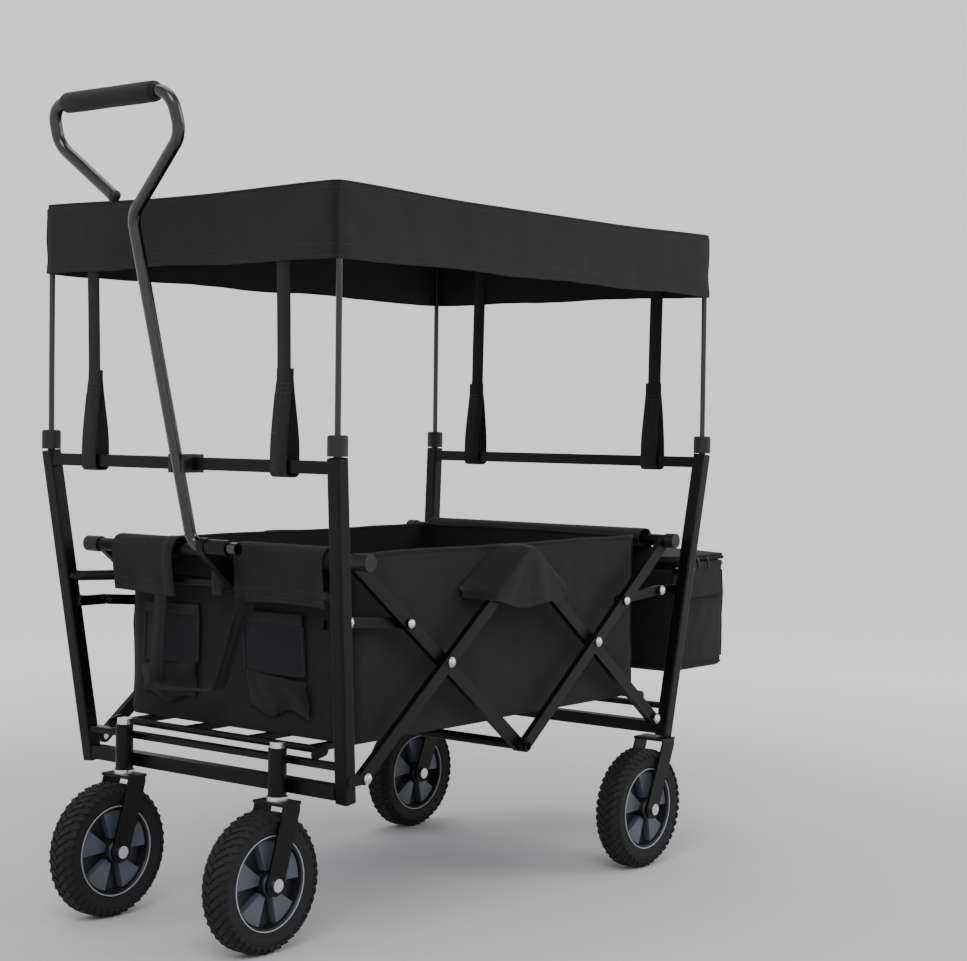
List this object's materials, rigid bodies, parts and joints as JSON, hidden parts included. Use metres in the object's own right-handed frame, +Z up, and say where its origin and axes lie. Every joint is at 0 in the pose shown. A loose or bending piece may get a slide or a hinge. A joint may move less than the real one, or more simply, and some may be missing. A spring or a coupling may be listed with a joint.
{
  "type": "kids pull wagon",
  "caption": "Folding pull wagon with a fabric basket, a canopy on poles, swivelling front wheels, a swinging loop handle and a rear bag.",
  "frame": {"origin": "on the floor, midway between the two end frames and between the sides", "axes": "+Z up, the handle end at -X, the left side at +Y"},
  "size_m": [1.1815, 0.563, 1.084],
  "materials": {
    "black_steel": "satin",
    "bright_steel": "satin",
    "black_plastic": "matte",
    "grey_plastic": "matte",
    "tyre_rubber": "matte",
    "foam": "matte",
    "basket_cloth": "matte",
    "webbing": "matte",
    "mesh_cloth": "matte"
  },
  "bodies": {
    "front_frame": {"front_posts": "black_steel", "front_frame_rivets": "bright_steel", "front_lower_crossbar": "black_steel", "front_upper_crossbar": "black_steel", "front_top_crossbar": "black_steel", "front_pole_sockets": "black_plastic", "front_canopy_poles": "black_steel", "front_canopy_straps": "webbing", "caster_housings": "black_steel", "handle_crossbar": "black_steel", "handle_bracket": "black_steel", "handle_clip": "black_plastic", "basket": "basket_cloth", "floor_pad": "basket_cloth", "mesh_pockets": "mesh_cloth", "canopy": "basket_cloth"},
    "front_risers": {"front_rising_bars": "black_steel", "front_cross_rivets": "bright_steel"},
    "front_fallers": {"front_falling_bars": "black_steel", "front_top_tube": "black_steel", "front_tube_caps": "black_plastic", "front_hem_sleeve": "basket_cloth", "centre_tube": "black_steel"},
    "rear_fallers": {"rear_falling_bars": "black_steel", "rear_top_tube": "black_steel", "rear_tube_caps": "black_plastic", "rear_hem_sleeve": "basket_cloth"},
    "rear_risers": {"rear_rising_bars": "black_steel", "rear_cross_rivets": "bright_steel"},
    "rear_frame": {"rear_posts": "black_steel", "rear_frame_rivets": "bright_steel", "rear_lower_crossbar": "black_steel", "rear_upper_crossbar": "black_steel", "rear_top_crossbar": "black_steel", "rear_pole_sockets": "black_plastic", "rear_canopy_poles": "black_steel", "rear_canopy_straps": "webbing", "rear_forks": "black_steel", "rear_axles": "bright_steel", "rear_bag": "basket_cloth", "bag_bail": "black_steel"},
    "front_link_pair": {"front_links": "black_steel"},
    "rear_link_pair": {"rear_links": "black_steel"},
    "front_floor": {"front_floor_bars": "black_steel"},
    "rear_floor": {"rear_floor_bars": "black_steel"},
    "handle": {"handle_tube": "black_steel", "handle_grip": "foam"},
    "front_caster_right": {"front_fork_right": "black_steel", "caster_bolts_right": "bright_steel"},
    "front_wheel_right": {"front_tyre_right": "tyre_rubber", "front_rim_right": "grey_plastic"},
    "rear_wheel_right": {"rear_tyre_right": "tyre_rubber", "rear_rim_right": "grey_plastic"},
    "front_caster_left": {"front_fork_left": "black_steel", "caster_bolts_left": "bright_steel"},
    "front_wheel_left": {"front_tyre_left": "tyre_rubber", "front_rim_left": "grey_plastic"},
    "rear_wheel_left": {"rear_tyre_left": "tyre_rubber", "rear_rim_left": "grey_plastic"}
  },
  "joints": [
    {"name": "frame_fold", "type": "hinge", "parent": "front_frame", "child": "front_risers", "pos_m": [-0.338, 0, 0.224], "axis": [0, -1, 0], "range_deg": [0, 44.91], "deforming": ["basket", "floor_pad", "mesh_pockets", "canopy"]},
    {"name": "front_faller_turn", "type": "hinge", "parent": "front_risers", "child": "front_fallers", "pos_m": [-0.169, 0, 0.356], "axis": [0, 1, 0], "range_deg": [0, 89.82]},
    {"name": "rear_faller_turn", "type": "hinge", "parent": "front_fallers", "child": "rear_fallers", "pos_m": [0, 0, 0.224], "axis": [0, -1, 0], "range_deg": [0, 89.82]},
    {"name": "rear_riser_turn", "type": "hinge", "parent": "rear_fallers", "child": "rear_risers", "pos_m": [0.169, 0, 0.356], "axis": [0, 1, 0], "range_deg": [0, 89.82]},
    {"name": "rear_frame_turn", "type": "hinge", "parent": "rear_risers", "child": "rear_frame", "pos_m": [0.338, 0, 0.224], "axis": [0, -1, 0], "range_deg": [0, 44.91]},
    {"name": "front_link_turn", "type": "hinge", "parent": "front_frame", "child": "front_link_pair", "pos_m": [-0.349, 0, 0.41993], "axis": [0, -1, 0], "range_deg": [0, 80.52]},
    {"name": "rear_link_turn", "type": "hinge", "parent": "rear_frame", "child": "rear_link_pair", "pos_m": [0.349, 0, 0.41993], "axis": [0, 1, 0], "range_deg": [0, 80.52]},
    {"name": "front_floor_fold", "type": "hinge", "parent": "front_frame", "child": "front_floor", "pos_m": [-0.35331, 0, 0.2547], "axis": [0, -1, 0], "range_deg": [0, 80.98]},
    {"name": "rear_floor_fold", "type": "hinge", "parent": "rear_frame", "child": "rear_floor", "pos_m": [0.35331, 0, 0.2547], "axis": [0, 1, 0], "range_deg": [0, 80.98]},
    {"name": "handle_swing", "type": "hinge", "parent": "front_frame", "child": "handle", "pos_m": [-0.406, 0, 0.508], "axis": [0, -1, 0], "range_deg": [0, 110]},
    {"name": "caster_swivel_right", "type": "hinge", "parent": "front_frame", "child": "front_caster_right", "pos_m": [-0.3875, -0.145, 0.19], "axis": [0, 0, 1], "continuous": true},
    {"name": "front_wheel_spin_right", "type": "hinge", "parent": "front_caster_right", "child": "front_wheel_right", "pos_m": [-0.4155, -0.145, 0.09], "axis": [0, 1, 0], "continuous": true},
    {"name": "rear_wheel_spin_right", "type": "hinge", "parent": "rear_frame", "child": "rear_wheel_right", "pos_m": [0.312, -0.229, 0.09], "axis": [0, 1, 0], "continuous": true},
    {"name": "caster_swivel_left", "type": "hinge", "parent": "front_frame", "child": "front_caster_left", "pos_m": [-0.3875, 0.145, 0.19], "axis": [0, 0, 1], "continuous": true},
    {"name": "front_wheel_spin_left", "type": "hinge", "parent": "front_caster_left", "child": "front_wheel_left", "pos_m": [-0.4155, 0.145, 0.09], "axis": [0, 1, 0], "continuous": true},
    {"name": "rear_wheel_spin_left", "type": "hinge", "parent": "rear_frame", "child": "rear_wheel_left", "pos_m": [0.312, 0.229, 0.09], "axis": [0, 1, 0], "continuous": true}
  ],
  "couplings": [
    {"joint": "front_faller_turn", "follows": "frame_fold", "ratio": 2},
    {"joint": "rear_faller_turn", "follows": "frame_fold", "ratio": 2},
    {"joint": "rear_riser_turn", "follows": "frame_fold", "ratio": 2},
    {"joint": "rear_frame_turn", "follows": "frame_fold", "ratio": 1},
    {"joint": "front_link_turn", "follows": "frame_fold", "ratio": 1.7929},
    {"joint": "rear_link_turn", "follows": "frame_fold", "ratio": 1.7929},
    {"joint": "front_floor_fold", "follows": "frame_fold", "ratio": 1.8032},
    {"joint": "rear_floor_fold", "follows": "frame_fold", "ratio": 1.8032}
  ]
}
